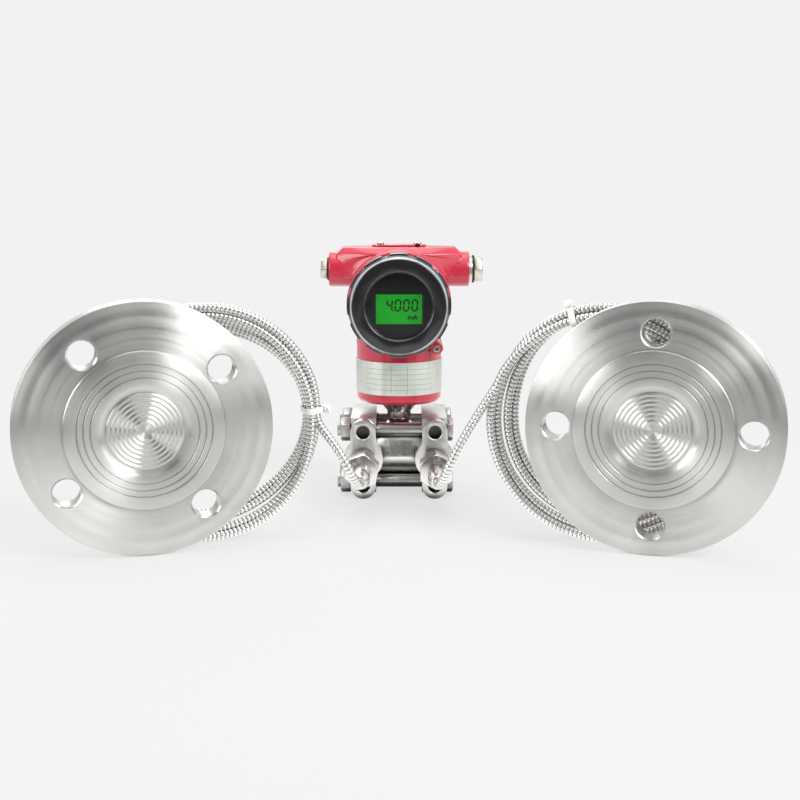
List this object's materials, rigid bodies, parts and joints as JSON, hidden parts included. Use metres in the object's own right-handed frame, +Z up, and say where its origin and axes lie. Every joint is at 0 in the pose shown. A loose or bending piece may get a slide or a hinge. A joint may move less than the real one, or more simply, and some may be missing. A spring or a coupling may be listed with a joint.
{
  "type": "differential pressure transmitter with flanged remote seals",
  "caption": "Differential pressure transmitter with display, upright on its process flanges, with two flanged diaphragm seals on armoured capillaries.",
  "frame": {"origin": "bottom centre of the set's box without the capillaries and their ties, on the surface it stands on; the transmitter's axis is 82.4 mm behind it", "axes": "+Z up along the transmitter's neck, -Y the way the display faces, +X across through both process flanges, towards the right-hand seal"},
  "size_m": [0.49, 0.2645, 0.191],
  "materials": {
    "turned_seal_steel": "turned, satin",
    "cast_steel": "investment cast, blasted and polished",
    "turned_steel": "turned, polished",
    "bolt_steel": "rolled, plain",
    "armour_steel": "wound strip, polished",
    "red_paint": "gloss powder coat",
    "neck_ring_red": "satin",
    "black_paint": "gloss powder coat, bright at the edges",
    "nameplate_metal": "brushed",
    "plated_steel": "nickel plated",
    "dark_rubber": "matt",
    "window_glass": "clear",
    "bezel_black": "fine grain",
    "display_green": "lit from behind",
    "board_green": "solder resist",
    "module_black": "potted",
    "terminal_plastic": "moulded",
    "tie_nylon": "natural white",
    "button_plastic": "moulded"
  },
  "bodies": {
    "base": {"cable_ties": "tie_nylon", "capillary_coil_left": "armour_steel", "capillary_coil_right": "armour_steel", "capillary_fitting_left": "turned_steel", "capillary_fitting_right": "turned_steel", "capillary_lead_left": "armour_steel", "capillary_lead_right": "armour_steel", "capillary_sleeve_left": "turned_steel", "capillary_sleeve_right": "turned_steel", "capillary_tail_left": "armour_steel", "capillary_tail_right": "armour_steel", "fill_plugs": "bolt_steel", "flange_bolts": "bolt_steel", "flange_nuts": "bolt_steel", "flange_seal_left": "dark_rubber", "flange_seal_right": "dark_rubber", "isolating_diaphragm_left": "turned_steel", "isolating_diaphragm_right": "turned_steel", "neck_ring": "neck_ring_red", "neck_stem": "turned_steel", "process_flange_left": "cast_steel", "process_flange_right": "cast_steel", "seal_connector_left": "turned_steel", "seal_connector_right": "turned_steel", "seal_diaphragm_left": "turned_seal_steel", "seal_diaphragm_right": "turned_seal_steel", "seal_flange_left": "turned_seal_steel", "seal_flange_right": "turned_seal_steel", "seal_sleeve_left": "turned_steel", "seal_sleeve_right": "turned_steel", "sensor_capsule": "turned_steel", "vent_plugs": "bolt_steel"},
    "head": {"housing": "red_paint", "head_lock_screw": "bolt_steel", "nameplate": "nameplate_metal", "nameplate_rivets": "plated_steel", "plate_screws": "plated_steel", "conduit_plug_left": "plated_steel", "conduit_plug_right": "plated_steel", "conduit_washers": "dark_rubber", "cover_lock_screws": "bolt_steel", "earth_screw": "plated_steel", "electronics_module": "module_black", "display_board": "board_green", "lcd_panel": "display_green", "display_bezel": "bezel_black", "module_screws": "plated_steel", "terminal_block": "terminal_plastic", "terminal_screws": "plated_steel"},
    "front_gasket": {"cover_gasket_front": "dark_rubber"},
    "front_cover": {"display_cover": "black_paint", "window_glass": "window_glass", "window_retainer": "bezel_black"},
    "rear_gasket": {"cover_gasket_rear": "dark_rubber"},
    "rear_cover": {"terminal_cover": "black_paint"},
    "button_plate": {"button_plate": "red_paint"},
    "zero_button": {"zero_button": "button_plastic"},
    "span_button": {"span_button": "button_plastic"}
  },
  "joints": [
    {"name": "head_turn", "type": "hinge", "parent": "base", "child": "head", "pos_m": [0, 0.08243, 0.0697], "axis": [0, 0, 1], "range_deg": [-180, 180]},
    {"name": "front_cover_travel", "type": "slide", "parent": "head", "child": "front_gasket", "axis": [0, -1, 0], "range_m": [0, 0.0076]},
    {"name": "front_cover_turn", "type": "hinge", "parent": "front_gasket", "child": "front_cover", "pos_m": [0, 0.08243, 0.1472], "axis": [0, -1, 0], "range_deg": [0, 1800]},
    {"name": "rear_cover_travel", "type": "slide", "parent": "head", "child": "rear_gasket", "axis": [0, 1, 0], "range_m": [0, 0.0076]},
    {"name": "rear_cover_turn", "type": "hinge", "parent": "rear_gasket", "child": "rear_cover", "pos_m": [0, 0.08243, 0.1472], "axis": [0, 1, 0], "range_deg": [0, 1800]},
    {"name": "plate_swing", "type": "hinge", "parent": "head", "child": "button_plate", "pos_m": [-0.014, 0.08243, 0.1875], "axis": [0, 0, 1], "range_deg": [0, 120]},
    {"name": "zero_button_press", "type": "slide", "parent": "head", "child": "zero_button", "axis": [0, 0, -1], "range_m": [0, 0.0015], "stiffness_N_per_m": 400, "springref_m": -0.001},
    {"name": "span_button_press", "type": "slide", "parent": "head", "child": "span_button", "axis": [0, 0, -1], "range_m": [0, 0.0015], "stiffness_N_per_m": 400, "springref_m": -0.001}
  ],
  "couplings": [
    {"joint": "front_cover_travel", "follows": "front_cover_turn", "m_per_rad": 0.00023873},
    {"joint": "rear_cover_travel", "follows": "rear_cover_turn", "m_per_rad": 0.00023873}
  ]
}
